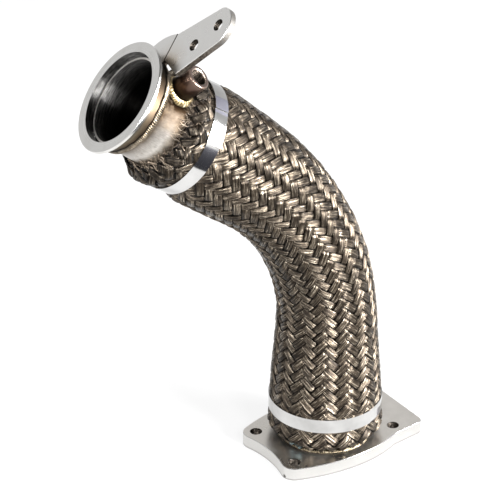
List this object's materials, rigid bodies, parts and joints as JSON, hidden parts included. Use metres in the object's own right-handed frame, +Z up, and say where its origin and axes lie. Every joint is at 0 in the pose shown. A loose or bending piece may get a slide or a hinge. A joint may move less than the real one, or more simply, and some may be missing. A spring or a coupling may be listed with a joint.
{
  "type": "exhaust downpipe",
  "caption": "Bent turbo exhaust downpipe with a clamp-flange inlet, braided heat sleeve, sensor bung, bracket and bolted outlet plate.",
  "frame": {"origin": "middle of the outlet plate's four bolt holes, on its underside and on the pipe's axis", "axes": "+Z up out of the outlet plate, +X along its long bolt spacing, +Y along its short one; the pipe bends towards -X"},
  "size_m": [0.2923, 0.1323, 0.4425],
  "materials": {
    "flange_steel": "turned stainless with a grey satin lip and a straw-tinted hub",
    "pipe_steel": "polished stainless, tinted brown near the welds",
    "weld_bead": "rippled bead, silver with straw and brown tints",
    "gold_weld": "rippled bead, heat-tinted gold",
    "bung_steel": "turned, heat-tinted bronze brown, with a bright mouth",
    "plate_steel": "satin light grey plate with laser-cut edges",
    "basalt_braid": "bronze-brown fibre tows with cream highlights",
    "band_steel": "near-white satin strap",
    "outlet_steel": "satin warm grey plate, bright machined sides"
  },
  "bodies": {
    "root": {"inlet_flange": "flange_steel", "inlet_weld": "weld_bead", "pipe": "pipe_steel", "sensor_bung": "bung_steel", "bung_weld": "gold_weld", "bracket_arm": "plate_steel", "bracket_base": "plate_steel", "bracket_weld": "weld_bead", "braided_sleeve": "basalt_braid", "upper_band": "band_steel", "lower_band": "band_steel", "outlet_flange": "outlet_steel", "outlet_weld": "weld_bead"}
  },
  "joints": []
}
